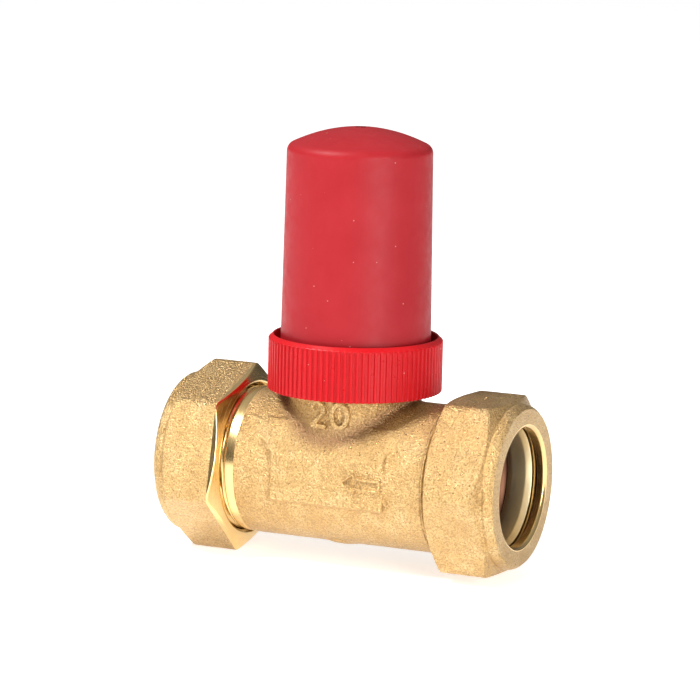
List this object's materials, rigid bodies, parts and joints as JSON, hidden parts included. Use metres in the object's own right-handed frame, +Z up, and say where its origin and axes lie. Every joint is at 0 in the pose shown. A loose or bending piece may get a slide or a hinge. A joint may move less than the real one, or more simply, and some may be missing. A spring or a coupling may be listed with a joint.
{
  "type": "lockshield valve",
  "caption": "Straight brass lockshield valve with compression nuts on both ends, a flow arrow, and a tall red hood held by a ribbed ring.",
  "frame": {"origin": "under the spindle, midway between the two end faces, on the plane that the nuts stand on", "axes": "+Z up the spindle, +X along the barrel towards the inlet, so that -Y is the front with the arrow and figures"},
  "size_m": [0.07, 0.0364, 0.0831],
  "materials": {
    "forged_brass": "hot-forged and shot-blasted",
    "machined_brass": "bright turned, with rough forged collars on the nuts",
    "fibre": "red fibre washer",
    "packing": "greased packing",
    "seat_rubber": "moulded rubber",
    "hood_plastic": "fine-grained red moulding",
    "ring_plastic": "satin red moulding with grip ribs"
  },
  "bodies": {
    "valve_body": {"body": "forged_brass", "headwork": "machined_brass", "headwork_washer": "fibre", "packing_ring_1": "packing", "packing_ring_2": "packing", "packing_ring_3": "packing"},
    "inlet_olive": {"inlet_olive": "machined_brass"},
    "inlet_nut": {"inlet_nut": "machined_brass"},
    "outlet_olive": {"outlet_olive": "machined_brass"},
    "outlet_nut": {"outlet_nut": "machined_brass"},
    "disc": {"valve_disc": "machined_brass", "seat_washer": "seat_rubber", "backing_washer": "machined_brass", "disc_nut": "machined_brass"},
    "spindle": {"spindle": "machined_brass"},
    "gland_follower": {"gland_follower": "machined_brass"},
    "gland_nut": {"gland_nut": "machined_brass"},
    "gasket": {"hood_gasket": "seat_rubber"},
    "hood": {"hood": "hood_plastic"},
    "lock_ring": {"lock_ring": "ring_plastic"}
  },
  "joints": [
    {"name": "inlet_olive_slide", "type": "slide", "parent": "valve_body", "child": "inlet_olive", "axis": [1, 0, 0], "range_m": [0, 0.00635]},
    {"name": "inlet_nut_spin", "type": "hinge", "parent": "inlet_olive", "child": "inlet_nut", "pos_m": [0.028, 0, 0.01786], "axis": [1, 0, 0], "range_deg": [0, 1440]},
    {"name": "outlet_olive_slide", "type": "slide", "parent": "valve_body", "child": "outlet_olive", "axis": [-1, 0, 0], "range_m": [0, 0.00635]},
    {"name": "outlet_nut_spin", "type": "hinge", "parent": "outlet_olive", "child": "outlet_nut", "pos_m": [-0.028, 0, 0.01786], "axis": [-1, 0, 0], "range_deg": [0, 1440]},
    {"name": "disc_lift", "type": "slide", "parent": "valve_body", "child": "disc", "axis": [0, 0, 1], "range_m": [0, 0.006]},
    {"name": "spindle_spin", "type": "hinge", "parent": "disc", "child": "spindle", "pos_m": [0, 0, 0.04786], "axis": [0, 0, 1], "range_deg": [0, 1440]},
    {"name": "gland_lift", "type": "slide", "parent": "valve_body", "child": "gland_follower", "axis": [0, 0, 1], "range_m": [0, 0.0055]},
    {"name": "gland_nut_spin", "type": "hinge", "parent": "gland_follower", "child": "gland_nut", "pos_m": [0, 0, 0.05386], "axis": [0, 0, 1], "range_deg": [0, 1980]},
    {"name": "hood_lift_off", "type": "slide", "parent": "valve_body", "child": "gasket", "axis": [0, 0, 1], "range_m": [0, 0.045]},
    {"name": "hood_rise", "type": "slide", "parent": "gasket", "child": "hood", "axis": [0, 0, 1], "range_m": [0, 0.007]},
    {"name": "lock_ring_spin", "type": "hinge", "parent": "hood", "child": "lock_ring", "pos_m": [0, 0, 0.03786], "axis": [0, 0, 1], "range_deg": [0, 1260]}
  ],
  "couplings": [
    {"joint": "inlet_nut_spin", "follows": "inlet_olive_slide", "rad_per_m": 3957.9},
    {"joint": "outlet_nut_spin", "follows": "outlet_olive_slide", "rad_per_m": 3957.9},
    {"joint": "spindle_spin", "follows": "disc_lift", "rad_per_m": 4188.8},
    {"joint": "gland_nut_spin", "follows": "gland_lift", "rad_per_m": 6283.2},
    {"joint": "lock_ring_spin", "follows": "hood_rise", "rad_per_m": 3141.6}
  ]
}
